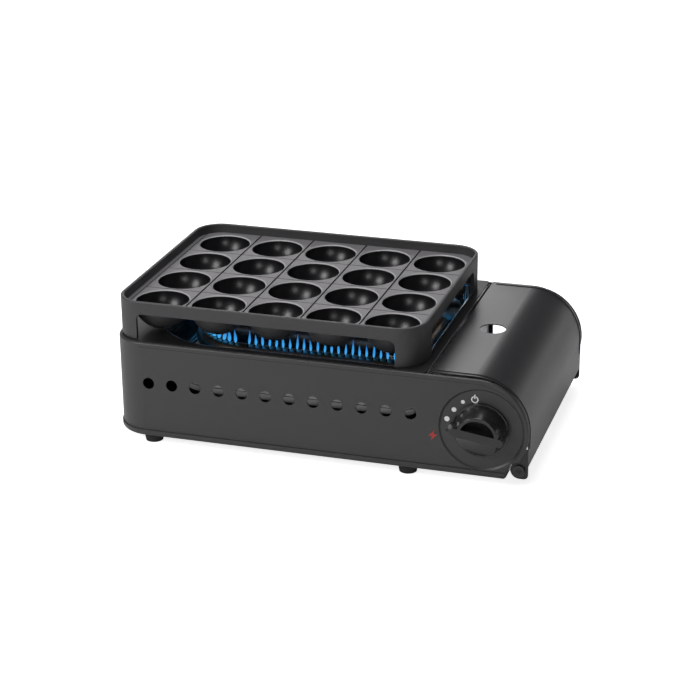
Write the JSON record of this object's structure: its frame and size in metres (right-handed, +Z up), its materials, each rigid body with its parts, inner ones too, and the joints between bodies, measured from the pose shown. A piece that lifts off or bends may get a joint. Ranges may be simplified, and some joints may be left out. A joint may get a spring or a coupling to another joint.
{
  "type": "takoyaki_maker",
  "caption": "Charcoal-coloured table-top gas grill for takoyaki: cast cup plate, burner box, canister bay under a hinged curved cover",
  "frame": {"origin": "middle of the footprint at the level of the feet", "axes": "+X to the right as seen from the knob side, +Y to the back, +Z up"},
  "size_m": [0.3576, 0.2414, 0.125],
  "materials": {
    "cast_iron": "dark coated cast aluminium, blasted deck and glossy cups",
    "painted_front": "satin charcoal paint",
    "painted_cover": "satin charcoal paint, a little darker",
    "bright_pan": "bright pressed sheet",
    "tube_steel": "plain steel, heat tinted",
    "zinc_steel": "zinc-plated sheet",
    "valve_metal": "die-cast, as cast",
    "brass_jet": "turned brass",
    "magnet": "nickel-plated magnet",
    "igniter_plastic": "moulded, matt",
    "lead_rubber": "silicone sleeve",
    "ceramic": "glazed ceramic",
    "knob_plastic": "glossy black moulding",
    "foot_rubber": "moulded black rubber",
    "screw_steel": "zinc-plated"
  },
  "bodies": {
    "case": {"base_pan": "painted_front", "burner": "tube_steel", "burner_bracket_left": "zinc_steel", "burner_bracket_right": "zinc_steel", "burner_pan": "bright_pan", "canister_cradle_front": "zinc_steel", "canister_cradle_rear": "zinc_steel", "canister_seat": "valve_metal", "case_shell": "painted_front", "electrode_insulator": "ceramic", "foot_front_left": "foot_rubber", "foot_front_right": "foot_rubber", "foot_rear_left": "foot_rubber", "foot_rear_right": "foot_rubber", "foot_screws": "screw_steel", "gas_nozzle": "brass_jet", "gas_valve": "valve_metal", "hinge_bracket_front": "zinc_steel", "hinge_bracket_rear": "zinc_steel", "hinge_nut_front": "screw_steel", "hinge_nut_rear": "screw_steel", "hinge_screw_front": "screw_steel", "hinge_screw_rear": "screw_steel", "igniter_lead": "lead_rubber", "mixing_tube": "zinc_steel", "pan_stay_left": "zinc_steel", "pan_stay_right": "zinc_steel", "partition": "zinc_steel", "piezo_igniter": "igniter_plastic", "seat_magnets": "magnet", "spark_electrode": "tube_steel", "valve_mount_plate": "zinc_steel"},
    "cover": {"canister_cover": "painted_cover"},
    "knob_body": {"knob": "knob_plastic", "knob_shaft": "brass_jet"},
    "plate": {"takoyaki_plate": "cast_iron"}
  },
  "joints": [
    {"name": "cover_hinge", "type": "hinge", "parent": "case", "child": "cover", "pos_m": [0.1712, 0.0077, 0.0155], "axis": [0, 1, 0], "range_deg": [0, 90]},
    {"name": "knob_turn", "type": "hinge", "parent": "case", "child": "knob_body", "pos_m": [0.1402, -0.1043, 0.0483], "axis": [0, -1, 0], "range_deg": [-70, 25]},
    {"name": "plate_lift", "type": "slide", "parent": "case", "child": "plate", "axis": [0, 0, 1], "range_m": [0, 0.1]}
  ]
}
